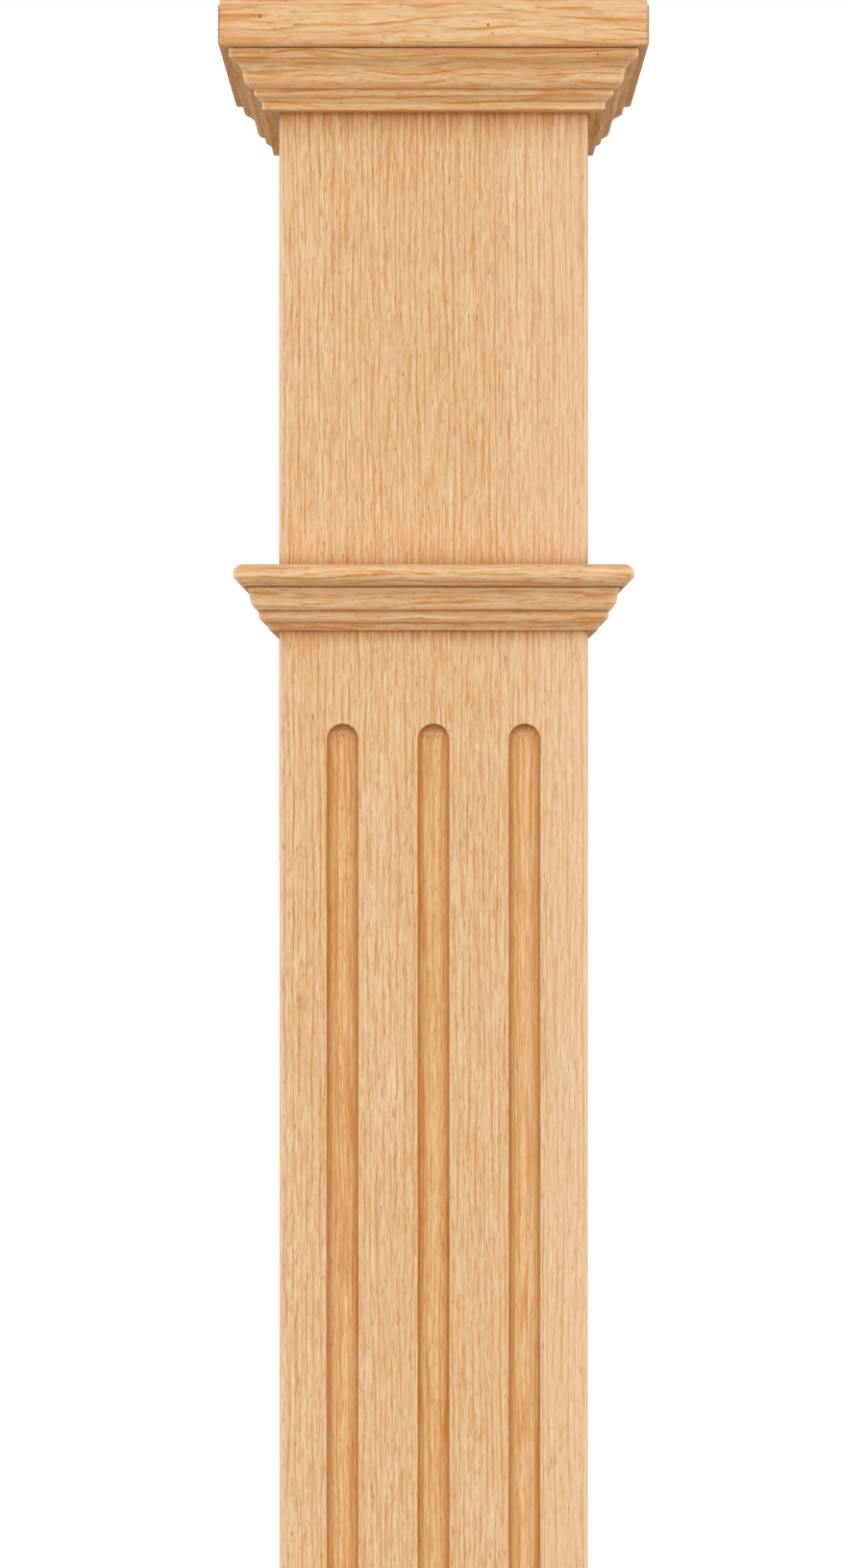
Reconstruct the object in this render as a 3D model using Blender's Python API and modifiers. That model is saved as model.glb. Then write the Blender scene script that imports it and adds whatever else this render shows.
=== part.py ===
"""Box newel post: a hollow square post of pale oak, made of four mitred boards with
three flutes each, a mitred collar moulding, a mitred cap moulding and a cap of
two boards.

Metres, +Z up. The origin is on the ground in the middle of the post's foot. The
front faces -Y.
"""

import math

import bmesh
import bpy

# Driving dimensions, in metres.

# A hair of clearance is left wherever two pieces touch.
CLEARANCE = 0.0003

# The whole post.
TOTAL_HEIGHT = 1.397
POST_WIDTH = 0.15875
BOARD_THICKNESS = 0.01905
POST_ARRIS_RADIUS = 0.0012

# Both mouldings are let into shallow housings in the boards, which hold them level and
# leave the neck between them a plain face of its own for the handrail.
HOUSING_DEPTH = 0.0015

# The flutes: three on each face, with round ends.
FLUTES_PER_FACE = 3
FLUTE_WIDTH = 0.0164
FLUTE_DEPTH = 0.0065
FLUTE_EDGE_DISTANCE = 0.0326
FLUTE_TOP_BELOW_COLLAR = 0.048
FLUTE_BOTTOM_HEIGHT = 0.254

# The cap: a thick board, and a thinner one on top of it.
CAP_BOARD_OVERHANG = 0.0301
CAP_BOARD_THICKNESS = 0.0212
CAP_BOARD_EASING = 0.002
CAP_TOP_SETBACK = 0.001
CAP_TOP_THICKNESS = 0.0127
CAP_TOP_CHAMFER = 0.006

# The cap moulding, member by member from the top. A run is how far a member steps in
# towards the post on its way down.
CAP_MOULDING_UPPER_FILLET_HEIGHT = 0.0044
CAP_MOULDING_SPLAY_RUN = 0.0025
CAP_MOULDING_SPLAY_HEIGHT = 0.0017
CAP_MOULDING_HOLLOW_RUN = 0.0047
CAP_MOULDING_HOLLOW_HEIGHT = 0.0075
CAP_MOULDING_ROUND_RUN = 0.0049
CAP_MOULDING_ROUND_HEIGHT = 0.0058
CAP_MOULDING_STEP_RUN = 0.0002
CAP_MOULDING_MIDDLE_FILLET_HEIGHT = 0.0029
CAP_MOULDING_COVE_RUN = 0.0042
CAP_MOULDING_COVE_HEIGHT = 0.0035
CAP_MOULDING_LOWER_FILLET_REACH = 0.0085
CAP_MOULDING_LOWER_FILLET_HEIGHT = 0.0036

# The plain neck between the cap moulding and the collar.
NECK_HEIGHT = 0.233

# The collar moulding, member by member from the top.
COLLAR_NOSING_THICKNESS = 0.0113
COLLAR_NOSING_RUN = 0.0063
COLLAR_HOLLOW_RUN = 0.002
COLLAR_HOLLOW_HEIGHT = 0.0057
COLLAR_ROUND_RUN = 0.0041
COLLAR_ROUND_HEIGHT = 0.0067
COLLAR_STEP_RUN = 0.0001
COLLAR_BEAD_HEIGHT = 0.002
COLLAR_OGEE_RUN = 0.005
COLLAR_OGEE_HEIGHT = 0.0067
COLLAR_FOOT_REACH = 0.0052
COLLAR_FOOT_HEIGHT = 0.0007

# How full each curve is: its rise over its own chord. A hollow has a minus sign.
HALF_ROUND = 0.5
CAP_MOULDING_HOLLOW_BOW = -0.143
CAP_MOULDING_ROUND_BOW = 0.183
CAP_MOULDING_COVE_BOW = -0.07
COLLAR_HOLLOW_BOW = -0.086
COLLAR_ROUND_BOW = 0.143
COLLAR_OGEE_BOW = 0.166

# Fineness of the curves.
MOULDING_CURVE_STEPS = 5
NOSING_STEPS = 10
ARRIS_STEPS = 3
EASING_STEPS = 3
FLUTE_TURN_STEPS = 32
FLUTE_END_STEPS = 7

# Colours (linear) and surface of the bare, sanded oak.
SHAFT_COLOUR = (0.775, 0.479, 0.258)
MOULDING_COLOUR = (0.72, 0.42, 0.21)
CAP_COLOUR = (0.745, 0.445, 0.223)
OAK_ROUGHNESS = 0.55

# Heights and half widths that follow from the sizes above.
HALF_POST = POST_WIDTH / 2
CAP_TOP_BOTTOM = TOTAL_HEIGHT - CAP_TOP_THICKNESS
CAP_BOARD_TOP = CAP_TOP_BOTTOM - CLEARANCE
CAP_BOARD_BOTTOM = CAP_BOARD_TOP - CAP_BOARD_THICKNESS
SHAFT_TOP = CAP_BOARD_BOTTOM - CLEARANCE
HALF_CAP = HALF_POST + CAP_BOARD_OVERHANG
MITRE_SETBACK = CLEARANCE / math.sqrt(2)
MOULDING_BACK_REACH = CLEARANCE - HOUSING_DEPTH

SIDES = ("front", "right", "back", "left")


def clear_scene():
    for scene_object in list(bpy.data.objects):
        bpy.data.objects.remove(scene_object)


def new_collection(name):
    collection = bpy.data.collections.new(name)
    bpy.context.scene.collection.children.link(collection)
    return collection


def oak_material(name, colour):
    material = bpy.data.materials.new(name)
    material.use_nodes = True
    shader = material.node_tree.nodes["Principled BSDF"]
    shader.inputs["Base Color"].default_value = (*colour, 1.0)
    shader.inputs["Roughness"].default_value = OAK_ROUGHNESS
    shader.inputs["Metallic"].default_value = 0.0
    return material


def add_object(name, mesh, collection, material=None, parent=None):
    added = bpy.data.objects.new(name, mesh)
    collection.objects.link(added)
    added.parent = parent
    if material and not mesh.materials:
        mesh.materials.append(material)
    return added


def shade_round(mesh):
    mesh.shade_smooth()
    mesh.set_sharp_from_angle(angle=math.radians(25))


def evaluated_mesh(source):
    """Returns a new mesh with the object's modifiers or curve settings applied."""
    depsgraph = bpy.context.evaluated_depsgraph_get()
    return bpy.data.meshes.new_from_object(source.evaluated_get(depsgraph))


def bowed_line(start, end, bow, steps):
    """Returns the points of an arc, without its start.

    A plus bow swells to the left of the way from start to end, seen with the first
    coordinate to the right and the second one up.
    """
    run = end[0] - start[0]
    rise = end[1] - start[1]
    half_sweep = 2 * math.atan(2 * bow)
    to_centre = 1 / (2 * math.tan(half_sweep))
    centre_x = (start[0] + end[0]) / 2 + rise * to_centre
    centre_y = (start[1] + end[1]) / 2 - run * to_centre
    points = []
    for step in range(1, steps + 1):
        turn = -2 * half_sweep * step / steps
        offset_x = start[0] - centre_x
        offset_y = start[1] - centre_y
        x = centre_x + offset_x * math.cos(turn) - offset_y * math.sin(turn)
        y = centre_y + offset_x * math.sin(turn) + offset_y * math.cos(turn)
        points.append((x, y))
    return points


def drawn_out(name, points, length):
    """Returns a closed mesh: a flat outline in XY, drawn out evenly to both sides."""
    curve = bpy.data.curves.new(name, "CURVE")
    curve.dimensions = "2D"
    curve.fill_mode = "BOTH"
    curve.extrude = length / 2
    spline = curve.splines.new("POLY")
    spline.points.add(len(points) - 1)
    for spline_point, (x, y) in zip(spline.points, points):
        spline_point.co = (x, y, 0, 1)
    spline.use_cyclic_u = True
    drawing = bpy.data.objects.new(name, curve)
    bpy.context.scene.collection.objects.link(drawing)
    mesh = evaluated_mesh(drawing)
    mesh.name = name
    bpy.data.objects.remove(drawing)
    weld = bmesh.new()
    weld.from_mesh(mesh)
    bmesh.ops.remove_doubles(weld, verts=weld.verts, dist=CLEARANCE / 100)
    bmesh.ops.recalc_face_normals(weld, faces=weld.faces)
    weld.to_mesh(mesh)
    weld.free()
    return mesh


def turned_object(name, profile, steps, collection):
    """Returns an object turned about Z from a profile that runs down its outer side."""
    mesh = bpy.data.meshes.new(name)
    vertices = [(radius, 0, height) for radius, height in profile]
    edges = [(index, index + 1) for index in range(len(profile) - 1)]
    mesh.from_pydata(vertices, edges, [])
    turned = add_object(name, mesh, collection)
    screw = turned.modifiers.new("Turning", "SCREW")
    screw.steps = steps
    screw.render_steps = steps
    screw.use_merge_vertices = True
    screw.merge_threshold = CLEARANCE / 100
    return turned


def place_on_side(piece, side_number):
    """Turns a piece made for the front round the post to its own side."""
    piece.rotation_euler.z += side_number * math.pi / 2


def moulding_profile_height(profile):
    return -min(height for reach, height in profile)


def cap_moulding_profile():
    """The section of the cap moulding: reach from the post's face, and height."""
    lower_reach = CAP_MOULDING_LOWER_FILLET_REACH
    middle_reach = lower_reach + CAP_MOULDING_COVE_RUN
    round_foot_reach = middle_reach + CAP_MOULDING_STEP_RUN
    hollow_foot_reach = round_foot_reach + CAP_MOULDING_ROUND_RUN
    splay_foot_reach = hollow_foot_reach + CAP_MOULDING_HOLLOW_RUN
    upper_reach = splay_foot_reach + CAP_MOULDING_SPLAY_RUN

    splay_top = -CAP_MOULDING_UPPER_FILLET_HEIGHT
    hollow_top = splay_top - CAP_MOULDING_SPLAY_HEIGHT
    round_top = hollow_top - CAP_MOULDING_HOLLOW_HEIGHT
    middle_top = round_top - CAP_MOULDING_ROUND_HEIGHT
    cove_top = middle_top - CAP_MOULDING_MIDDLE_FILLET_HEIGHT
    lower_top = cove_top - CAP_MOULDING_COVE_HEIGHT
    foot = lower_top - CAP_MOULDING_LOWER_FILLET_HEIGHT

    hollow_start = (splay_foot_reach, hollow_top)
    round_start = (hollow_foot_reach, round_top)
    round_end = (round_foot_reach, middle_top)
    cove_start = (middle_reach, cove_top)
    cove_end = (lower_reach, lower_top)
    points = [(MOULDING_BACK_REACH, 0), (upper_reach, 0), (upper_reach, splay_top), hollow_start]
    points += bowed_line(hollow_start, round_start, CAP_MOULDING_HOLLOW_BOW, MOULDING_CURVE_STEPS)
    points += bowed_line(round_start, round_end, CAP_MOULDING_ROUND_BOW, MOULDING_CURVE_STEPS)
    points += [(middle_reach, middle_top), cove_start]
    points += bowed_line(cove_start, cove_end, CAP_MOULDING_COVE_BOW, MOULDING_CURVE_STEPS)
    points += [(lower_reach, foot), (MOULDING_BACK_REACH, foot)]
    return points


def collar_profile():
    """The section of the collar moulding: reach from the post's face, and height."""
    bead_reach = COLLAR_FOOT_REACH + COLLAR_OGEE_RUN
    round_foot_reach = bead_reach + COLLAR_STEP_RUN
    hollow_foot_reach = round_foot_reach + COLLAR_ROUND_RUN
    nosing_foot_reach = hollow_foot_reach + COLLAR_HOLLOW_RUN
    nosing_reach = nosing_foot_reach + COLLAR_NOSING_RUN
    nosing_flat_reach = nosing_reach - COLLAR_NOSING_THICKNESS / 2

    nosing_foot = -COLLAR_NOSING_THICKNESS
    round_top = nosing_foot - COLLAR_HOLLOW_HEIGHT
    bead_top = round_top - COLLAR_ROUND_HEIGHT
    ogee_top = bead_top - COLLAR_BEAD_HEIGHT
    ogee_foot = ogee_top - COLLAR_OGEE_HEIGHT
    foot = ogee_foot - COLLAR_FOOT_HEIGHT

    nosing_start = (nosing_flat_reach, 0)
    nosing_end = (nosing_flat_reach, nosing_foot)
    hollow_start = (nosing_foot_reach, nosing_foot)
    round_start = (hollow_foot_reach, round_top)
    round_end = (round_foot_reach, bead_top)
    ogee_start = (bead_reach, ogee_top)
    ogee_middle = (bead_reach - COLLAR_OGEE_RUN / 2, ogee_top - COLLAR_OGEE_HEIGHT / 2)
    ogee_end = (COLLAR_FOOT_REACH, ogee_foot)
    points = [(MOULDING_BACK_REACH, 0), nosing_start]
    points += bowed_line(nosing_start, nosing_end, HALF_ROUND, NOSING_STEPS)
    points += [hollow_start]
    points += bowed_line(hollow_start, round_start, COLLAR_HOLLOW_BOW, MOULDING_CURVE_STEPS)
    points += bowed_line(round_start, round_end, COLLAR_ROUND_BOW, MOULDING_CURVE_STEPS)
    points += [(bead_reach, bead_top), ogee_start]
    points += bowed_line(ogee_start, ogee_middle, COLLAR_OGEE_BOW, MOULDING_CURVE_STEPS)
    points += bowed_line(ogee_middle, ogee_end, -COLLAR_OGEE_BOW, MOULDING_CURVE_STEPS)
    points += [(COLLAR_FOOT_REACH, foot), (MOULDING_BACK_REACH, foot)]
    return points


def add_mouldings(name, profile, top, material, post, collection):
    """Adds four lengths of moulding round the post, mitred to each other."""
    outline = [(HALF_POST + reach, height) for reach, height in profile]
    mesh = drawn_out(name, outline, POST_WIDTH)
    for vertex in mesh.vertices:
        mitred_half_length = vertex.co.x - MITRE_SETBACK
        vertex.co.z = math.copysign(mitred_half_length, vertex.co.z)
    shade_round(mesh)
    for side_number, side in enumerate(SIDES):
        piece = add_object(f"{name}_{side}", mesh, collection, material, post)
        piece.location.z = top
        piece.rotation_euler = (math.pi / 2, 0, -math.pi / 2)
        place_on_side(piece, side_number)


def shaft_board_outline():
    """The section of the front board seen from above: mitred edges, eased arrises."""
    arc_centre = HALF_POST - POST_ARRIS_RADIUS
    mitre_turn = math.asin(CLEARANCE / 2 / POST_ARRIS_RADIUS)
    sweep = math.pi / 4 - mitre_turn
    right_arris = []
    for step in range(ARRIS_STEPS + 1):
        turn = sweep * step / ARRIS_STEPS
        x = arc_centre + POST_ARRIS_RADIUS * math.sin(turn)
        y = -arc_centre - POST_ARRIS_RADIUS * math.cos(turn)
        right_arris.append((x, y))
    inner_face = HALF_POST - BOARD_THICKNESS
    right_half = [*right_arris, (inner_face - MITRE_SETBACK, -inner_face)]
    left_half = [(-x, y) for x, y in reversed(right_half)]
    return right_half + left_half


def add_flute_cutters(flute_top, cutters):
    """Adds one round-ended cutter for each flute of the front board."""
    half_width = FLUTE_WIDTH / 2
    radius = (half_width ** 2 + FLUTE_DEPTH ** 2) / (2 * FLUTE_DEPTH)
    upper_centre = flute_top - half_width
    lower_centre = FLUTE_BOTTOM_HEIGHT + half_width
    quarter = [math.pi / 2 * step / FLUTE_END_STEPS for step in range(FLUTE_END_STEPS + 1)]
    upper_end = [(radius * math.sin(turn), upper_centre + radius * math.cos(turn)) for turn in quarter]
    lower_end = [(radius * math.cos(turn), lower_centre - radius * math.sin(turn)) for turn in quarter]
    profile = upper_end + lower_end
    profile[0] = (0, upper_centre + radius)
    profile[-1] = (0, lower_centre - radius)
    spread = POST_WIDTH - 2 * FLUTE_EDGE_DISTANCE
    spacing = spread / (FLUTES_PER_FACE - 1)
    for number in range(FLUTES_PER_FACE):
        name = f"flute_cutter_{number + 1}"
        cutter = turned_object(name, profile, FLUTE_TURN_STEPS, cutters)
        cutter.location.x = number * spacing - spread / 2
        cutter.location.y = -HALF_POST - (radius - FLUTE_DEPTH)


def add_housing_cutter(name, foot, top, cutters):
    """Adds a block that cuts the front board's housing for a moulding."""
    mesh = bpy.data.meshes.new(name)
    block = bmesh.new()
    bmesh.ops.create_cube(block, size=1)
    size = (2 * POST_WIDTH, 2 * HOUSING_DEPTH, top - foot + 2 * CLEARANCE)
    bmesh.ops.scale(block, vec=size, verts=block.verts)
    block.to_mesh(mesh)
    block.free()
    cutter = add_object(name, mesh, cutters)
    cutter.location = (0, -HALF_POST, (foot + top) / 2)


def add_shaft_boards(material, post, collection, cutters):
    """Adds the four boards of the shaft, which stand from the ground to the cap."""
    plain_mesh = drawn_out("plain_shaft_board", shaft_board_outline(), SHAFT_TOP)
    pattern = add_object("fluted_board_pattern", plain_mesh, collection)
    pattern.location.z = SHAFT_TOP / 2
    for cutter in cutters.objects:
        cutter.hide_render = True
        cutter.display_type = "WIRE"
        cut = pattern.modifiers.new(cutter.name, "BOOLEAN")
        cut.object = cutter
        cut.operation = "DIFFERENCE"
        cut.solver = "EXACT"
    mesh = evaluated_mesh(pattern)
    mesh.name = "fluted_shaft_board"
    bpy.data.objects.remove(pattern)
    shade_round(mesh)
    for side_number, side in enumerate(SIDES):
        board = add_object(f"shaft_board_{side}", mesh, collection, material, post)
        board.location.z = SHAFT_TOP / 2
        place_on_side(board, side_number)


def square_board(name, half_width, thickness, collection, material, post):
    """Adds a square board lying flat, with its centre at the object's origin."""
    mesh = bpy.data.meshes.new(name)
    block = bmesh.new()
    bmesh.ops.create_cube(block, size=1)
    bmesh.ops.scale(block, vec=(2 * half_width, 2 * half_width, thickness), verts=block.verts)
    block.to_mesh(mesh)
    block.free()
    return add_object(name, mesh, collection, material, post)


def add_cap_board(material, post, collection):
    board = square_board("cap_board", HALF_CAP, CAP_BOARD_THICKNESS, collection, material, post)
    board.location.z = CAP_BOARD_TOP - CAP_BOARD_THICKNESS / 2
    easing = board.modifiers.new("Eased arrises", "BEVEL")
    easing.width = CAP_BOARD_EASING
    easing.segments = EASING_STEPS
    easing.limit_method = "NONE"
    board.data.shade_smooth()


def add_cap_top_board(material, post, collection):
    half_width = HALF_CAP - CAP_TOP_SETBACK
    board = square_board("cap_top_board", half_width, CAP_TOP_THICKNESS, collection, material, post)
    board.location.z = TOTAL_HEIGHT - CAP_TOP_THICKNESS / 2
    block = bmesh.new()
    block.from_mesh(board.data)
    upper_edges = [edge for edge in block.edges if all(vertex.co.z > 0 for vertex in edge.verts)]
    bmesh.ops.bevel(
        block,
        geom=upper_edges,
        offset=CAP_TOP_CHAMFER,
        segments=1,
        profile=0.5,
        affect="EDGES",
        material=-1,
    )
    block.to_mesh(board.data)
    block.free()


def build_post():
    clear_scene()
    collection = new_collection("box_newel_post")
    cutters = new_collection("board_cutters")
    post = bpy.data.objects.new("box_newel_post_origin", None)
    collection.objects.link(post)

    shaft_oak = oak_material("shaft_oak", SHAFT_COLOUR)
    cap_moulding_oak = oak_material("cap_moulding_oak", MOULDING_COLOUR)
    collar_oak = oak_material("collar_moulding_oak", MOULDING_COLOUR)
    cap_oak = oak_material("cap_board_oak", CAP_COLOUR)
    cap_top_oak = oak_material("cap_top_oak", CAP_COLOUR)

    cap_moulding = cap_moulding_profile()
    collar = collar_profile()
    neck_top = SHAFT_TOP - moulding_profile_height(cap_moulding)
    collar_top = neck_top - NECK_HEIGHT
    collar_foot = collar_top - moulding_profile_height(collar)

    add_housing_cutter("cap_moulding_housing", neck_top, SHAFT_TOP, cutters)
    add_housing_cutter("collar_housing", collar_foot, collar_top, cutters)
    add_flute_cutters(collar_foot - FLUTE_TOP_BELOW_COLLAR, cutters)
    add_shaft_boards(shaft_oak, post, collection, cutters)
    add_mouldings("collar_moulding", collar, collar_top, collar_oak, post, collection)
    add_mouldings("cap_moulding", cap_moulding, SHAFT_TOP, cap_moulding_oak, post, collection)
    add_cap_board(cap_oak, post, collection)
    add_cap_top_board(cap_top_oak, post, collection)


build_post()
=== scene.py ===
"""Looks of a box newel post in pale red oak: four mitred and fluted boards, two mitred
mouldings and a cap of two boards.

Metres, +Z up. The origin is on the ground in the middle of the post's foot, and the
front faces -Y.
"""

import math

import bmesh
import bpy
from mathutils import Euler, Matrix, Vector


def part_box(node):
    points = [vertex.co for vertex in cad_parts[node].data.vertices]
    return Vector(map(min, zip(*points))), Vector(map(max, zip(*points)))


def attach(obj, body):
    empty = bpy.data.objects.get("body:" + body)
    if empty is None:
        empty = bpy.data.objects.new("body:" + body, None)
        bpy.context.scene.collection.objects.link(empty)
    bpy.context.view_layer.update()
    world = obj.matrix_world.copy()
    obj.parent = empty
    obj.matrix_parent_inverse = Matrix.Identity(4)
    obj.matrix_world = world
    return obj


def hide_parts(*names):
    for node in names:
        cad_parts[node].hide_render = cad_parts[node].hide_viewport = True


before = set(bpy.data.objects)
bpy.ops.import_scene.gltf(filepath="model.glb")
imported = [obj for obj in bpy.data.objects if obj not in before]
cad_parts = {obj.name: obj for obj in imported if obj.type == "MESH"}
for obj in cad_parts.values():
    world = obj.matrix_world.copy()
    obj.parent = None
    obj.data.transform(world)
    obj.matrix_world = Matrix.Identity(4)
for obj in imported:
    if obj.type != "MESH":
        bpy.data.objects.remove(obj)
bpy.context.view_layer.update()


# Shaft boards: four boards of red oak from the floor to the cap, mitred to each other at
# the corners. A round-nosed cutter has run three flutes in each face, and both mouldings
# sit in shallow housings. The arrises are eased by hand with a sanding block.

board_low, board_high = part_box("shaft_board_front")
HALF_POST = -board_low.y
SHAFT_TOP = board_high.z
BOARD_THICKNESS = 0.01905
POST_ARRIS_RADIUS = 0.0012
ARRIS_STEPS = 6
# What shows of a tight glue line.
GLUE_LINE = 0.00006

FLUTE_CENTRES = (-0.046775, 0.0, 0.046775)
FLUTE_WIDTH = 0.0164
FLUTE_DEPTH = 0.0065
FLUTE_TOP = 1.019
FLUTE_BOTTOM = 0.254
FLUTE_EASING = 0.0006
LIP_OVERRUN = 0.00002
FLUTE_ARC_STEPS = 14
FLUTE_EASING_STEPS = 3
FLUTE_END_STEPS = 32

HOUSING_DEPTH = 0.0015
CUTTER_CLEARANCE = 0.002

# Points closer to each other than this are one point.
ONE_POINT = 1e-6
# Faces fold softly up to this angle, but not along a face larger than its flat area.
SOFT_FOLD = math.radians(35)
FLAT_MOULDING_AREA = 0.0002
FLAT_BOARD_AREA = 0.002

SIDES = ("front", "right", "back", "left")


def carry_round(drawing, vertex, centre, axis, turn, steps):
    """Carries an outline on from a vertex round an arc, and returns its last vertex."""
    spun = bmesh.ops.spin(
        drawing, geom=[vertex], cent=centre, axis=axis, dvec=(0, 0, 0), angle=turn, steps=steps
    )
    return next(part for part in spun["geom_last"] if isinstance(part, bmesh.types.BMVert))


def carry_straight(drawing, vertex, place):
    """Carries an outline on from a vertex in a straight line, and returns its end."""
    end = drawing.verts.new(place)
    drawing.edges.new((vertex, end))
    return end


def draw_out(drawing, way):
    """Closes an outline into a face and draws it out into a solid."""
    bmesh.ops.remove_doubles(drawing, verts=drawing.verts, dist=ONE_POINT)
    outline = bmesh.ops.contextual_create(drawing, geom=drawing.edges[:])["faces"]
    drawn = bmesh.ops.extrude_face_region(drawing, geom=outline, use_keep_orig=True)
    moved = [part for part in drawn["geom"] if isinstance(part, bmesh.types.BMVert)]
    bmesh.ops.translate(drawing, vec=way, verts=moved)
    bmesh.ops.recalc_face_normals(drawing, faces=drawing.faces)


def finished_mesh(name, shape, flat_area=FLAT_MOULDING_AREA):
    """Turns a bmesh into a mesh that is shaded round, but flat on its larger faces."""
    for face in shape.faces:
        face.smooth = True
    for edge in shape.edges:
        wide = [face for face in edge.link_faces if face.calc_area() > flat_area]
        edge.smooth = not wide and edge.calc_face_angle(0) < SOFT_FOLD
    mesh = bpy.data.meshes.new(name)
    shape.to_mesh(mesh)
    shape.free()
    return mesh


def add_piece(name, mesh, finish, node):
    """Adds a finished piece of the post in the place of a CAD node."""
    piece = bpy.data.objects.new(name, mesh)
    bpy.context.scene.collection.objects.link(piece)
    mesh.materials.clear()
    mesh.materials.append(finish)
    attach(piece, "root")
    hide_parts(node)


def board_blank():
    """The front board before it is cut: mitred edges and eased arrises."""
    blank = bmesh.new()
    arc_centre = HALF_POST - POST_ARRIS_RADIUS
    arc_middle = (arc_centre, -arc_centre, 0)
    sweep = math.pi / 4 - math.asin(GLUE_LINE / 2 / POST_ARRIS_RADIUS)
    inner_face = HALF_POST - BOARD_THICKNESS
    inner_corner = (inner_face - GLUE_LINE / math.sqrt(2), -inner_face, 0)
    start = blank.verts.new((0, -HALF_POST, 0))
    corner = carry_straight(blank, start, (arc_centre, -HALF_POST, 0))
    corner = carry_round(blank, corner, arc_middle, (0, 0, 1), sweep, ARRIS_STEPS)
    corner = carry_straight(blank, corner, inner_corner)
    carry_straight(blank, corner, (0, -inner_face, 0))
    half = blank.edges[:] + blank.verts[:]
    bmesh.ops.mirror(blank, geom=half, axis="X", merge_dist=ONE_POINT)
    draw_out(blank, (0, 0, SHAFT_TOP))
    return blank


def flute_cutter(tool, centre_x):
    """Adds the space that the round-nosed cutter sweeps in one flute."""
    cut = bmesh.new()
    half_width = FLUTE_WIDTH / 2
    radius = (half_width ** 2 + FLUTE_DEPTH ** 2) / (2 * FLUTE_DEPTH)
    nose_centre = -HALF_POST - (radius - FLUTE_DEPTH)
    lip_centre_y = -HALF_POST + FLUTE_EASING - LIP_OVERRUN
    rise = lip_centre_y - nose_centre
    lip_centre_x = math.sqrt((radius + FLUTE_EASING) ** 2 - rise ** 2)
    wall_turn = math.atan2(lip_centre_x, rise)
    outside = -HALF_POST - CUTTER_CLEARANCE
    top = FLUTE_TOP - half_width
    length = FLUTE_TOP - FLUTE_BOTTOM - FLUTE_WIDTH

    tip = cut.verts.new((0, nose_centre + radius, top))
    edge = carry_round(cut, tip, (0, nose_centre, top), (0, 0, 1), -wall_turn, FLUTE_ARC_STEPS)
    edge = carry_round(
        cut, edge, (lip_centre_x, lip_centre_y, top), (0, 0, 1), wall_turn, FLUTE_EASING_STEPS
    )
    edge = carry_straight(cut, edge, (lip_centre_x, outside, top))
    carry_straight(cut, edge, (0, outside, top))
    profile = cut.edges[:]

    upper = bmesh.ops.spin(
        cut, geom=profile, cent=(0, 0, top), axis=(0, 1, 0), dvec=(0, 0, 0),
        angle=-math.pi, steps=FLUTE_END_STEPS,
    )
    far_profile = [part for part in upper["geom_last"] if isinstance(part, bmesh.types.BMEdge)]
    drawn = bmesh.ops.extrude_edge_only(cut, edges=profile + far_profile)["geom"]
    foot_points = [part for part in drawn if isinstance(part, bmesh.types.BMVert)]
    bmesh.ops.translate(cut, vec=(0, 0, -length), verts=foot_points)
    foot_profile = [
        part for part in drawn
        if isinstance(part, bmesh.types.BMEdge)
        and all(end.co.x > -ONE_POINT and end.co.z < top - ONE_POINT for end in part.verts)
    ]
    bmesh.ops.spin(
        cut, geom=foot_profile, cent=(0, 0, top - length), axis=(0, 1, 0), dvec=(0, 0, 0),
        angle=math.pi, steps=FLUTE_END_STEPS,
    )
    bmesh.ops.remove_doubles(cut, verts=cut.verts, dist=10 * ONE_POINT)
    bmesh.ops.recalc_face_normals(cut, faces=cut.faces)
    bmesh.ops.translate(cut, vec=(centre_x, 0, 0), verts=cut.verts)
    cut_mesh = bpy.data.meshes.new("flute_cut")
    cut.to_mesh(cut_mesh)
    cut.free()
    tool.from_mesh(cut_mesh)
    bpy.data.meshes.remove(cut_mesh)


def housing_cutter(tool, node):
    """Adds the shallow space that a moulding's back stands in."""
    low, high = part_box(node)
    block = bmesh.ops.create_cube(tool, size=1)["verts"]
    bmesh.ops.scale(tool, vec=(4 * HALF_POST, 2 * HOUSING_DEPTH, high.z - low.z), verts=block)
    bmesh.ops.translate(tool, vec=(0, -HALF_POST, (low.z + high.z) / 2), verts=block)


def cut_board(blank, tool):
    """Cuts the tool's shape out of the blank and returns what is left."""
    solids = []
    for shape in (blank, tool):
        mesh = bpy.data.meshes.new("board_cut")
        shape.to_mesh(mesh)
        shape.free()
        solid = bpy.data.objects.new("board_cut", mesh)
        bpy.context.scene.collection.objects.link(solid)
        solids.append(solid)
    cut = solids[0].modifiers.new("Cut", "BOOLEAN")
    cut.object = solids[1]
    cut.operation = "DIFFERENCE"
    cut.solver = "EXACT"
    depsgraph = bpy.context.evaluated_depsgraph_get()
    board = bmesh.new()
    board.from_object(solids[0], depsgraph)
    bmesh.ops.remove_doubles(board, verts=board.verts, dist=2 * ONE_POINT)
    for solid in solids:
        bpy.data.objects.remove(solid)
    return board


def linear_colour(hex_code):
    """The linear value of an sRGB hex colour."""
    channels = [int(hex_code[place:place + 2], 16) / 255 for place in (1, 3, 5)]
    return (*[c / 12.92 if c <= 0.04045 else ((c + 0.055) / 1.055) ** 2.4 for c in channels], 1)


def add_node(tree, kind, settings, links=None):
    """Adds a node with its settings, and links its inputs to other nodes' outputs."""
    node = tree.nodes.new(kind)
    for name, value in settings.items():
        if isinstance(name, int) or name in node.inputs:
            node.inputs[name].default_value = value
        else:
            setattr(node, name, value)
    for name, source in (links or {}).items():
        tree.links.new(source, node.inputs[name])
    return node


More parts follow.
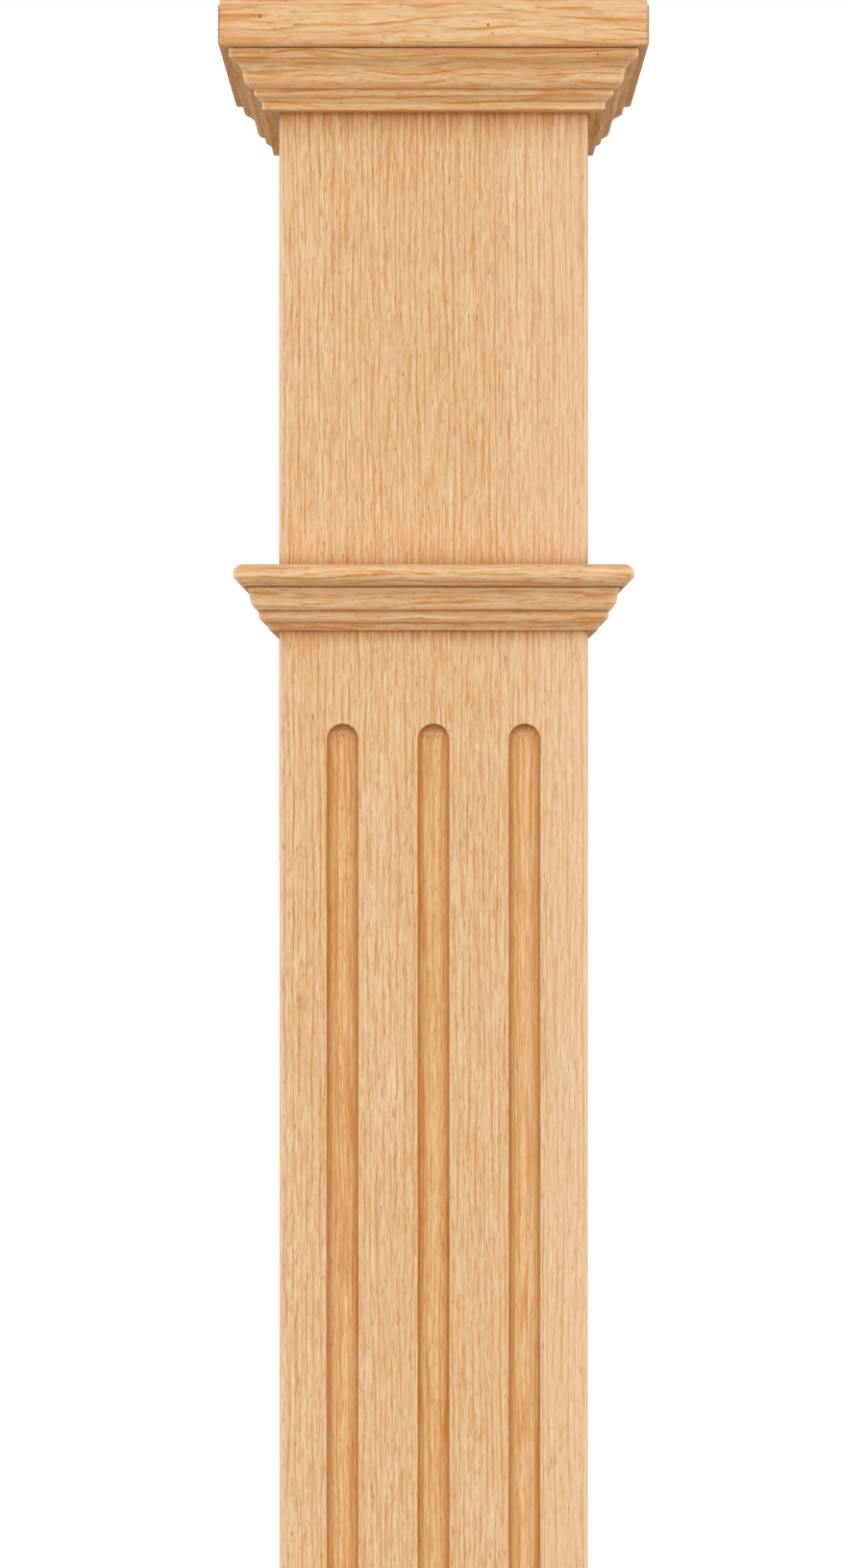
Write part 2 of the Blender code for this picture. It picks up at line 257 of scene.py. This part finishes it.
# Planed and sanded red oak under a thin matt lacquer. It gives the eye a warm cream wood
# with thin golden lines that braid along the grain, short pores and a faint sheen. End
# grain soaks up the lacquer and turns darker. Shade is painted into the colour: darker in
# the quirks, under the mouldings and in the flutes, most on their steep walls, and a
# little redder in the flutes. A highlight is painted paler along the arrises, where the
# wood is also sanded paler.
# Real pores are 0.3 mm wide, under a pixel here, so they are drawn about twice as wide.
OAK_PAINTED_SHADE = "#C8A880"
OAK_END = "#DCCDC0"
OAK_SHADE_UNDER_MOULDING = "#EBD6B8"
OAK_FLUTE_SHADE = "#FAF6EA"
OAK_FLUTE_WALL_SHADE = "#F0CD9A"
OAK_ARRIS_HIGHLIGHT = "#FBE3BE"
OAK_KNOT = "#8A4F26"
OAK_KNOT_SHARE = 0.8
OAK_IOR = 1.5
OAK_ROUGHEST = 0.7
OAK_SMOOTHEST = 0.56
OAK_RELIEF = 0.4
OAK_RELIEF_STRENGTH = 0.25
OAK_RELIEF_DEPTH = 0.0001
# How far the wood looks round for a quirk to paint shade in, and how thin it is at an
# arris that gets a painted highlight.
PAINTED_SHADE_REACH = 0.02
ARRIS_REACH = 0.0014
# The grain is drawn in mm. Its rings sway by up to so many radians, over so many mm.
PER_METRE = 1000
RING_SWAY = 9
RING_SWAY_LENGTH = 160
# A flute cuts across the rings: so many radians of them for each mm of depth.
FLUTE_RING_TURN = 4.2
FLUTE_RING_SWAY = 16
FLUTE_RING_SIZE = (4.5, 120)
FLUTE_SHOWS_FROM = 0.3
FLUTE_SHOWS_FULLY = 1.5
# Close under a moulding, this share of the strip of painted shade is darker still.
CONTACT_SHARE = 0.15
SHADE_UNDER_SIZE = (2.4, 60)


def oak_finish(name, turn, spot, cut):
    """Oak cut from its own spot in the log. After the turn the grain runs along +Z."""
    material = bpy.data.materials.new(name)
    material.use_nodes = True
    tree = material.node_tree
    shader = tree.nodes["Principled BSDF"]
    shader.inputs["IOR"].default_value = OAK_IOR
    from_log = Euler(turn).to_matrix().transposed()

    def drawn_noise(place, size, detail, output="Fac"):
        """Noise that is drawn out along the grain. Its size is in mm across and along."""
        across, along = size
        stretched = add_node(
            tree, "ShaderNodeVectorMath",
            {"operation": "MULTIPLY", 1: (1 / across, 1 / across, 1 / along)}, {0: place},
        ).outputs[0]
        return add_node(
            tree, "ShaderNodeTexNoise", {"Scale": 1, "Detail": detail, "Roughness": 0.55},
            {"Vector": stretched},
        ).outputs[output]

    def overlap(ranges, most=1):
        """How far all the values have gone from their starts to their ends, times the most."""
        share = None
        for value, start, end in ranges:
            reached = add_node(
                tree, "ShaderNodeMapRange",
                {
                    "interpolation_type": "SMOOTHSTEP", "From Min": start, "From Max": end,
                    "To Max": most if share is None else 1,
                },
                {"Value": value},
            ).outputs[0]
            if share is not None:
                reached = add_node(
                    tree, "ShaderNodeMath", {"operation": "MULTIPLY"}, {0: share, 1: reached}
                ).outputs[0]
            share = reached
        return share

    def tint(base, colour, ranges, most=1, blend="MIX"):
        """Tints the base with a colour where the ranges overlap.

        The two colours of a Mix node are its inputs 6 and 7.
        """
        settings = {"data_type": "RGBA", "blend_type": blend, 7: linear_colour(colour)}
        links = {0: overlap(ranges, most)}
        if isinstance(base, str):
            settings[6] = linear_colour(base)
        else:
            links[6] = base
        return add_node(tree, "ShaderNodeMix", settings, links).outputs[2]

    def ring_wave(count, sway, size, detail):
        """A wave with its crest at each growth ring, from an angle that counts the rings."""
        phase = add_node(
            tree, "ShaderNodeMath", {"operation": "MULTIPLY_ADD", 1: sway},
            {0: drawn_noise(grain, size, detail), 2: count},
        ).outputs[0]
        return add_node(tree, "ShaderNodeMath", {"operation": "SINE"}, {0: phase}).outputs[0]

    def facing(way):
        """How far the surface faces one way, from -1 to 1."""
        return add_node(
            tree, "ShaderNodeVectorMath", {"operation": "DOT_PRODUCT", 1: from_log @ Vector(way)},
            {0: places["Normal"]},
        ).outputs["Value"]

    places = add_node(tree, "ShaderNodeTexCoord", {}).outputs
    log = add_node(
        tree, "ShaderNodeMapping",
        {"Scale": (PER_METRE, PER_METRE, PER_METRE), "Rotation": turn, "Location": spot},
        {"Vector": places["Object"]},
    ).outputs[0]
    grain = log
    for amount, size in cut["wander"]:
        grain = add_node(
            tree, "ShaderNodeVectorMath", {"operation": "MULTIPLY_ADD", 1: (amount, amount, 0)},
            {0: drawn_noise(grain, size, 1, "Color"), 2: grain},
        ).outputs[0]

    # Noise keeps mostly between 0.25 and 0.75, and each layer shows in a part of that.
    bands = (drawn_noise(grain, cut["band_size"], 2), 0.36, 0.64)
    streaks = (drawn_noise(grain, cut["streak_size"], 2), 0.34, 0.66)
    threads = drawn_noise(grain, cut["thread_size"], 1)
    pores = (drawn_noise(grain, cut["pore_size"], 1), 0.6, 0.74)
    colour = tint(cut["cream"], cut["gold"], [bands], cut["band_share"])
    colour = tint(colour, cut["gold"], [streaks], cut["streak_share"])
    colour = tint(colour, cut["light"], [(threads, 0.52, 0.72)], cut["thread_share"])
    colour = tint(colour, cut["line"], [(threads, 0.48, 0.28)], cut["thread_share"])
    for spacing, way, sharp, length, share in cut["rings"]:
        turn_each = [2 * math.pi / spacing * part for part in way]
        count = add_node(
            tree, "ShaderNodeVectorMath", {"operation": "DOT_PRODUCT", 1: turn_each}, {0: grain}
        ).outputs["Value"]
        wave = ring_wave(count, RING_SWAY, (3 * spacing, RING_SWAY_LENGTH), 1)
        breaks = drawn_noise(grain, (0.7 * spacing, length), 2)
        colour = tint(colour, cut["line"], [(wave, sharp, 1), (breaks, 0.38, 0.6)], share)
    colour = tint(colour, cut["pore"], [pores], cut["pore_share"])

    if "knot_radius" in cut:
        knots = add_node(
            tree, "ShaderNodeTexVoronoi", {"Scale": 1 / cut["knot_spacing"]}, {"Vector": grain}
        ).outputs["Distance"]
        heart = cut["knot_radius"] / 2
        colour = tint(colour, OAK_KNOT, [(knots, cut["knot_radius"], heart)], OAK_KNOT_SHARE)

    if "face" in cut:
        # Each board turns lighter towards one side, across its width.
        across = add_node(tree, "ShaderNodeSeparateXYZ", {}, {0: grain}).outputs["X"]
        low, high = [spot[0] + place for place in cut["lighter_side"]]
        colour = tint(colour, cut["light"], [(across, low, high)], cut["lighter_side_share"])

        log_axes = add_node(tree, "ShaderNodeSeparateXYZ", {}, {0: log}).outputs
        depth = add_node(
            tree, "ShaderNodeMath", {"operation": "SUBTRACT", 1: spot[1] - cut["face"]},
            {0: log_axes["Y"]},
        ).outputs[0]
        in_flute = (depth, FLUTE_SHOWS_FROM, FLUTE_SHOWS_FULLY)
        count = add_node(
            tree, "ShaderNodeMath", {"operation": "MULTIPLY", 1: FLUTE_RING_TURN}, {0: depth}
        ).outputs[0]
        wave = ring_wave(count, FLUTE_RING_SWAY, FLUTE_RING_SIZE, 2)
        colour = tint(colour, cut["line"], [(wave, 0.3, 1), in_flute], cut["flute_share"])
        # Painted shade: the flutes are darker and a little redder, and darker still on their steep
        # walls.
        colour = tint(colour, OAK_FLUTE_SHADE, [in_flute], blend="MULTIPLY")
        steep = (facing((0, -1, 0)), 0.92, 0.35)
        colour = tint(colour, OAK_FLUTE_WALL_SHADE, [steep, in_flute], blend="MULTIPLY")

        # Painted shade: a streaked darker strip under each moulding, darker still close under it.
        height = log_axes["Z"]
        uneven = (drawn_noise(grain, SHADE_UNDER_SIZE, 1), 0.3, 0.6)
        for underside, reach in cut["shade_under_mouldings"]:
            edge = spot[2] + underside
            below = (height, edge + 1, edge)
            near = (height, edge - reach, edge)
            contact = (height, edge - CONTACT_SHARE * reach, edge)
            colour = tint(colour, OAK_SHADE_UNDER_MOULDING, [near, uneven, below], blend="MULTIPLY")
            colour = tint(colour, OAK_SHADE_UNDER_MOULDING, [contact, below], blend="MULTIPLY")

    # Painted shade: the colour turns darker where nearby wood hides the open sky.
    open_sky = add_node(
        tree, "ShaderNodeAmbientOcclusion",
        {"samples": 12, "only_local": cut["shaded_by_self_only"], "Distance": PAINTED_SHADE_REACH},
    ).outputs["AO"]
    in_wood = add_node(
        tree, "ShaderNodeAmbientOcclusion",
        {"samples": 8, "only_local": True, "inside": True, "Distance": ARRIS_REACH},
    ).outputs["AO"]
    # Painted highlight: paler along thin, open arrises, where the wood is also sanded paler.
    arris = [(in_wood, 0.9, 0.5), (open_sky, 0.6, 0.9)]
    colour = tint(colour, OAK_ARRIS_HIGHLIGHT, arris, cut["arris_highlight_share"])
    colour = tint(colour, OAK_PAINTED_SHADE, [(open_sky, *cut["shade_range"])], blend="MULTIPLY")
    end_on = add_node(
        tree, "ShaderNodeMath", {"operation": "ABSOLUTE"}, {0: facing((0, 0, 1))}
    ).outputs[0]
    colour = tint(colour, OAK_END, [(end_on, 0.35, 0.85)], blend="MULTIPLY")
    tree.links.new(colour, shader.inputs["Base Color"])

    gloss = add_node(
        tree, "ShaderNodeMapRange", {"To Min": OAK_SMOOTHEST, "To Max": OAK_ROUGHEST},
        {"Value": overlap([streaks])},
    ).outputs[0]
    tree.links.new(gloss, shader.inputs["Roughness"])
    relief = add_node(
        tree, "ShaderNodeMath", {"operation": "SUBTRACT"},
        {0: overlap([streaks], OAK_RELIEF), 1: overlap([pores], OAK_RELIEF)},
    ).outputs[0]
    bump = add_node(
        tree, "ShaderNodeBump",
        {"Strength": OAK_RELIEF_STRENGTH, "Distance": OAK_RELIEF_DEPTH}, {"Height": relief},
    ).outputs[0]
    tree.links.new(bump, shader.inputs["Normal"])
    return material


# The boards are rift-sawn: close, nearly straight grain whose lines part and meet again.
# Sizes are in mm across and along the grain. The rings each have their spacing, the way
# across them, how sharp their lines are, how long, and how much they show. The flutes
# start from the face. Each strip of painted shade has its moulding's underside and its
# height.
RIFT_CUT = {
    "cream": "#F0D3AB", "gold": "#E6BB89", "light": "#F5E1C4", "line": "#D38E3C",
    "pore": "#B3692C",
    "wander": ((5.0, (24, 150)), (1.5, (5, 40))),
    "band_size": (12, 200), "band_share": 0.42,
    "streak_size": (1.2, 28), "streak_share": 0.62,
    "thread_size": (0.6, 11), "thread_share": 0.55,
    "rings": (
        (3.1, (0.85, 0.5, 0.003), 0.45, 40, 0.68),
        (1.9, (0.7, -0.7, 0.004), 0.5, 26, 0.52),
    ),
    "pore_size": (0.42, 6), "pore_share": 0.72,
    "shade_range": (0.65, 0.4), "shaded_by_self_only": False, "arris_highlight_share": 0.6,
    "lighter_side": (20, 90), "lighter_side_share": 0.25,
    "face": HALF_POST * PER_METRE, "flute_share": 0.46,
    "shade_under_mouldings": (
        (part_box("collar_moulding_front")[0].z * PER_METRE, 10),
        (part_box("cap_moulding_front")[0].z * PER_METRE, 22),
    ),
}
BOARD_SPOTS = ((0, 0, 0), (310, 40, 900), (620, 90, 350), (130, 150, 1500))

blank = board_blank()
tool = bmesh.new()
for flute_centre in FLUTE_CENTRES:
    flute_cutter(tool, flute_centre)
housing_cutter(tool, "collar_moulding_front")
housing_cutter(tool, "cap_moulding_front")
fluted_board = finished_mesh("fluted_board", cut_board(blank, tool), FLAT_BOARD_AREA)

for number, side in enumerate(SIDES):
    board_mesh = fluted_board.copy()
    board_mesh.transform(Matrix.Rotation(number * math.pi / 2, 4, "Z"))
    to_front = Matrix.Rotation(-number * math.pi / 2, 3, "Z").to_euler()
    board_oak = oak_finish(
        f"lacquered_oak_board_{side}", to_front, BOARD_SPOTS[number], RIFT_CUT
    )
    add_piece(f"fluted_board_{side}", board_mesh, board_oak, f"shaft_board_{side}")


# Collar moulding: four lengths of oak, mitred round the shaft above the flutes. A nosing
# stands over an ogee, a bead and a smaller ogee, all run with one cutter. The lengths are
# glued into the housing and sanded soft at the arrises.

# Each member: its step in towards the post and its drop, in mm, how full its curve is
# (rise over chord, minus for a hollow), and the steps of its curve.
COLLAR_MEMBERS = (
    (-4.5, 3.3, 0.12, 8),
    (0.0, 3.4, 0, 1),
    (5.65, 4.6, 0.07, 6),
    (1.6, 0.0, 0, 1),
    (0.0, 0.45, 0, 1),
    (-0.95, 0.0, 0, 1),
    (2.0, 5.25, -0.086, 7),
    (4.4, 6.7, 0.143, 9),
    (-0.2, 0.0, 0, 1),
    (0.0, 2.0, 0, 1),
    (2.5, 3.35, 0.166, 7),
    (2.5, 3.35, -0.166, 7),
    (0.0, 0.7, 0, 1),
)
COLLAR_TOP_REACH = 0.0182
COLLAR_EASING = 0.00055
BACK_CLEARANCE = 0.0003
MOULDING_BACK = HALF_POST - HOUSING_DEPTH + BACK_CLEARANCE
STOCK_LENGTH = 4 * HALF_POST
MITRE_NORMALS = ((1, 1, 0), (-1, 1, 0))
EASING_STEPS = 3
# A corner is eased where it is sharper than this and its sides leave room for the easing.
SHARP_CORNER = math.radians(150)
ROOM_FOR_EASING = 1.2


def carry_member(drawing, vertex, member):
    """Carries a moulding's section on over one member, and returns its last vertex."""
    step_in, drop, bow, steps = member
    start = vertex.co.copy()
    end = start + Vector((0, step_in, -drop)) / PER_METRE
    if not bow:
        return carry_straight(drawing, vertex, end)
    half_sweep = 2 * math.atan(2 * bow)
    to_centre = 1 / (2 * math.tan(half_sweep))
    chord = end - start
    centre = (start + end) / 2 + Vector((0, -chord.z, chord.y)) * to_centre
    return carry_round(drawing, vertex, centre, (1, 0, 0), 2 * half_sweep, steps)


def moulding_length(top_reach, top, members, easing):
    """The front length of a moulding: its section, drawn out and cut to its mitres."""
    length = bmesh.new()
    corner = length.verts.new((0, -MOULDING_BACK, top))
    corner = carry_straight(length, corner, (0, -HALF_POST - top_reach, top))
    for member in members:
        corner = carry_member(length, corner, member)
    corner = carry_straight(length, corner, (0, -MOULDING_BACK, corner.co.z))
    bmesh.ops.translate(length, vec=(-STOCK_LENGTH / 2, 0, 0), verts=length.verts)
    length.edges.new((corner, length.verts[:][0]))
    section = bmesh.ops.contextual_create(length, geom=length.edges[:])["faces"][0]
    shortest = easing * ROOM_FOR_EASING
    arrises = [
        loop.vert for loop in section.loops
        if loop.is_convex and loop.calc_angle() < SHARP_CORNER
        and min(edge.calc_length() for edge in loop.vert.link_edges) > shortest
        and loop.vert.co.y < -HALF_POST
    ]
    bmesh.ops.bevel(
        length, geom=arrises, offset=easing, segments=EASING_STEPS, profile=0.5,
        affect="VERTICES", material=-1,
    )
    section = length.faces[:]
    drawn = bmesh.ops.extrude_face_region(length, geom=section, use_keep_orig=True)["geom"]
    far_points = [part for part in drawn if isinstance(part, bmesh.types.BMVert)]
    bmesh.ops.translate(length, vec=(STOCK_LENGTH, 0, 0), verts=far_points)
    for normal in MITRE_NORMALS:
        cut = bmesh.ops.bisect_plane(
            length, geom=length.verts[:] + length.edges[:] + length.faces[:],
            plane_co=Vector(normal).normalized() * (-GLUE_LINE / 2), plane_no=normal,
            clear_outer=True,
        )["geom_cut"]
        bmesh.ops.contextual_create(
            length, geom=[part for part in cut if isinstance(part, bmesh.types.BMEdge)]
        )
    bmesh.ops.recalc_face_normals(length, faces=length.faces)
    return length


# Flat-sawn oak: the rings lie nearly level with the face, so the grain flows in long
# flames, more golden than on the boards. It runs along each length. A moulding's painted
# shade looks only at its own quirks, because the post behind it would darken all of it.
FLAT_CUT = {
    "cream": "#F1D0A2", "gold": "#E3B079", "light": "#F8E2C2", "line": "#D0882C",
    "pore": "#BE6A20",
    "wander": ((9.0, (18, 80)), (1.6, (4, 19))),
    "band_size": (4.5, 120), "band_share": 0.8,
    "streak_size": (1.6, 28), "streak_share": 0.42,
    "thread_size": (0.7, 10), "thread_share": 0.32,
    "rings": (
        (3.8, (0.6, 0.8, 0.01), 0.45, 40, 0.8),
        (2.3, (-0.5, 0.86, 0.01), 0.6, 30, 0.5),
    ),
    "pore_size": (0.8, 6), "pore_share": 0.5,
    "shade_range": (0.9, 0.5), "shaded_by_self_only": True, "arris_highlight_share": 0.42,
}
COLLAR_CUT = dict(FLAT_CUT, cream="#F3D4AA", band_share=0.5, shade_range=(0.97, 0.8))
COLLAR_SPOTS = ((40, 700, 20), (300, 820, 60), (90, 930, 400), (510, 640, 250))

collar_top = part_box("collar_moulding_front")[1].z
collar_length = finished_mesh(
    "collar_length", moulding_length(COLLAR_TOP_REACH, collar_top, COLLAR_MEMBERS, COLLAR_EASING)
)
grain_upright = Matrix.Rotation(-math.pi / 2, 3, "Y")

for number, side in enumerate(SIDES):
    length_mesh = collar_length.copy()
    length_mesh.transform(Matrix.Rotation(number * math.pi / 2, 4, "Z"))
    turn = (grain_upright @ Matrix.Rotation(-number * math.pi / 2, 3, "Z")).to_euler()
    collar_oak = oak_finish(f"lacquered_oak_collar_{side}", turn, COLLAR_SPOTS[number], COLLAR_CUT)
    add_piece(
        f"collar_length_{side}", length_mesh, collar_oak, f"collar_moulding_{side}",
    )


# Cap moulding: four lengths of oak, mitred round the shaft under the cap and glued into
# their housing. Three fillets have a hollow and a round between the upper two, and a
# small cove over the lowest.

CAP_MEMBERS = (
    (0.0, 4.4, 0, 1),
    (2.5, 1.7, 0, 1),
    (4.7, 7.5, -0.143, 9),
    (5.2, 5.8, 0.183, 9),
    (-0.1, 0.0, 0, 1),
    (0.0, 2.9, 0, 1),
    (4.2, 3.5, -0.07, 4),
    (0.0, 3.6, 0, 1),
)
CAP_MOULDING_REACH = 0.025
CAP_MOULDING_EASING = 0.0008
CAP_MOULDING_SPOTS = ((210, 760, 130), (480, 880, 300), (20, 600, 510), (350, 980, 700))
# The cap's oak is the same, but has a few pin knots.
CAP_CUT = dict(FLAT_CUT, knot_spacing=17, knot_radius=0.06)

cap_moulding_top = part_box("cap_moulding_front")[1].z
cap_length = finished_mesh(
    "cap_length",
    moulding_length(CAP_MOULDING_REACH, cap_moulding_top, CAP_MEMBERS, CAP_MOULDING_EASING),
)

for number, side in enumerate(SIDES):
    length_mesh = cap_length.copy()
    length_mesh.transform(Matrix.Rotation(number * math.pi / 2, 4, "Z"))
    turn = (grain_upright @ Matrix.Rotation(-number * math.pi / 2, 3, "Z")).to_euler()
    cap_moulding_oak = oak_finish(
        f"lacquered_oak_cap_moulding_{side}", turn, CAP_MOULDING_SPOTS[number], CAP_CUT
    )
    add_piece(
        f"cap_length_{side}", length_mesh, cap_moulding_oak, f"cap_moulding_{side}",
    )


# Cap board: a square board of solid oak that lies on the post and the cap moulding, with
# its grain running across the front. Its arrises are rounded over, the upper ones least,
# and it is glued down.

CAP_BOARD_LOWER_EASING = 0.002
CAP_BOARD_LOWER_STEPS = 5
CAP_BOARD_EASING = 0.0011
CAP_BOARD_STEPS = 4
CAP_BOARD_SPOT = (700, 300, 90)


def square_board(node):
    """A square board lying flat, with the size and place of its CAD node."""
    low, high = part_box(node)
    board = bmesh.new()
    bmesh.ops.create_cube(board, size=1)
    bmesh.ops.scale(board, vec=high - low, verts=board.verts)
    bmesh.ops.translate(board, vec=(low + high) / 2, verts=board.verts)
    return board


def ease(board, edges, easing, segments):
    """Rounds over some of a board's arrises."""
    bmesh.ops.bevel(
        board, geom=edges, offset=easing, segments=segments, profile=0.5, affect="EDGES",
        material=-1,
    )


cap_board = square_board("cap_board")
middle = sum(vertex.co.z for vertex in cap_board.verts) / len(cap_board.verts)
lower_or_upright = [edge for edge in cap_board.edges if any(v.co.z < middle for v in edge.verts)]
ease(cap_board, lower_or_upright, CAP_BOARD_LOWER_EASING, CAP_BOARD_LOWER_STEPS)
face_top = max(vertex.co.z for vertex in cap_board.verts) - ONE_POINT
upper = [edge for edge in cap_board.edges if all(v.co.z > face_top for v in edge.verts)]
ease(cap_board, upper, CAP_BOARD_EASING, CAP_BOARD_STEPS)
cap_oak = oak_finish("lacquered_oak_cap", grain_upright.to_euler(), CAP_BOARD_SPOT, CAP_CUT)
add_piece(
    "rounded_cap_board", finished_mesh("rounded_cap_board", cap_board), cap_oak, "cap_board",
)


# Cap top board: a thinner oak board that is glued on the cap board, set back by a
# millimetre. Its upper edge has a wide chamfer, and its grain runs the same way.

CAP_TOP_CHAMFER = 0.006
CAP_TOP_EASING = 0.0006
CAP_TOP_SPOT = (820, 420, 260)

top_board = square_board("cap_top_board")
middle = sum(vertex.co.z for vertex in top_board.verts) / len(top_board.verts)
for vertex in top_board.verts:
    if vertex.co.z < middle:
        vertex.co.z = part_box("cap_board")[1].z + GLUE_LINE
upper = [edge for edge in top_board.edges if all(v.co.z > middle for v in edge.verts)]
ease(top_board, upper, CAP_TOP_CHAMFER, 1)
not_below = [edge for edge in top_board.edges if any(v.co.z > middle for v in edge.verts)]
ease(top_board, not_below, CAP_TOP_EASING, EASING_STEPS)
top_oak = oak_finish("lacquered_oak_cap_top", grain_upright.to_euler(), CAP_TOP_SPOT, CAP_CUT)
add_piece(
    "chamfered_top_board", finished_mesh("chamfered_top_board", top_board), top_oak,
    "cap_top_board",
)


# Studio: a white floor, and soft light from two lamps in front, one above and a little to
# the left and one from low down, and from two behind for the sides and the back. The
# camera looks level, as in the photograph.

FLOOR_RADIUS = 60.0
FLOOR_SIDES = 96
FLOOR_WHITE = "#F4F3F1"
FLOOR_MOTTLE = "#FAF9F8"
FLOOR_MOTTLE_SCALE = 900
FLOOR_ROUGHNESS = 0.9
FLOOR_GLOW = 0.5
CAMERA_PLACE = (-0.0008, -2.4894, 0.988)
CAMERA_LENS = 107.69
CAMERA_SENSOR = 36
CAMERA_SIGHT = 100
# name, azimuth from the front and elevation in degrees, light on a facing wall, spread
SOFT_LIGHTS = (
    ("main_light", -4, 44, 0.34, 50),
    ("front_fill", 0, -10, 0.34, 70),
    ("back_left_light", -130, 28, 0.35, 60),
    ("back_right_light", 130, 28, 0.35, 60),
)
ROOM_COLOUR = "#FFE9CE"
ROOM_LIGHT = 0.39
WHITE = (1, 1, 1, 1)

# Opal acrylic, sanded matt and lit from below, as for a photograph on pure white. It
# throws neither light nor shade on the post, and from below it is clear, so that the foot
# and the hollow can be seen.
floor_acrylic = bpy.data.materials.new("backlit_opal_acrylic")
floor_acrylic.use_nodes = True
floor_tree = floor_acrylic.node_tree
floor_shader = floor_tree.nodes["Principled BSDF"]
floor_shader.inputs["Roughness"].default_value = FLOOR_ROUGHNESS
floor_shader.inputs["Emission Color"].default_value = WHITE
floor_shader.inputs["Emission Strength"].default_value = FLOOR_GLOW
mottle = add_node(
    floor_tree, "ShaderNodeTexNoise", {"Scale": FLOOR_MOTTLE_SCALE, "Detail": 2},
    {"Vector": add_node(floor_tree, "ShaderNodeTexCoord", {}).outputs["Object"]},
)
floor_colour = add_node(
    floor_tree, "ShaderNodeMix",
    {"data_type": "RGBA", 6: linear_colour(FLOOR_WHITE), 7: linear_colour(FLOOR_MOTTLE)},
    {0: mottle.outputs["Fac"]},
)
floor_tree.links.new(floor_colour.outputs[2], floor_shader.inputs["Base Color"])
clear_from_below = add_node(
    floor_tree, "ShaderNodeMixShader", {},
    {
        0: add_node(floor_tree, "ShaderNodeNewGeometry", {}).outputs["Backfacing"],
        1: floor_shader.outputs[0],
        2: add_node(floor_tree, "ShaderNodeBsdfTransparent", {}).outputs[0],
    },
)
floor_output = floor_tree.nodes["Material Output"]
floor_tree.links.new(clear_from_below.outputs[0], floor_output.inputs["Surface"])

floor_shape = bmesh.new()
bmesh.ops.create_circle(floor_shape, cap_ends=True, segments=FLOOR_SIDES, radius=FLOOR_RADIUS)
floor_mesh = bpy.data.meshes.new("studio_floor")
floor_shape.to_mesh(floor_mesh)
floor_shape.free()
floor_mesh.materials.append(floor_acrylic)
floor = bpy.data.objects.new("studio_floor", floor_mesh)
floor.visible_diffuse = False
floor.visible_glossy = False
floor.visible_shadow = False
bpy.context.scene.collection.objects.link(floor)

for name, azimuth, elevation, strength, spread in SOFT_LIGHTS:
    lamp = bpy.data.lights.new(name, "SUN")
    lamp.energy = strength * math.pi
    lamp.angle = math.radians(spread)
    soft_light = bpy.data.objects.new(name, lamp)
    soft_light.rotation_euler = (math.radians(90 - elevation), 0, math.radians(azimuth))
    bpy.context.scene.collection.objects.link(soft_light)

# The white of the studio stands behind the post, and lights it more softly than it looks.
studio = bpy.data.worlds.new("white_studio")
studio.use_nodes = True
studio_tree = studio.node_tree
studio_tree.nodes.clear()
backdrop = add_node(studio_tree, "ShaderNodeBackground", {"Color": WHITE, "Strength": 1})
room = add_node(
    studio_tree, "ShaderNodeBackground",
    {"Color": linear_colour(ROOM_COLOUR), "Strength": ROOM_LIGHT},
)
seen = add_node(studio_tree, "ShaderNodeLightPath", {})
both = add_node(
    studio_tree, "ShaderNodeMixShader", {},
    {0: seen.outputs["Is Camera Ray"], 1: room.outputs[0], 2: backdrop.outputs[0]},
)
add_node(studio_tree, "ShaderNodeOutputWorld", {}, {"Surface": both.outputs[0]})
bpy.context.scene.world = studio

lens = bpy.data.cameras.new("photo_camera")
lens.sensor_width = CAMERA_SENSOR
lens.lens = CAMERA_LENS
lens.clip_end = CAMERA_SIGHT
camera = bpy.data.objects.new("photo_camera", lens)
camera.location = CAMERA_PLACE
camera.rotation_euler = (math.pi / 2, 0, 0)
bpy.context.scene.collection.objects.link(camera)
bpy.context.scene.camera = camera
bpy.context.scene.view_settings.view_transform = "Standard"

bpy.context.view_layer.update()
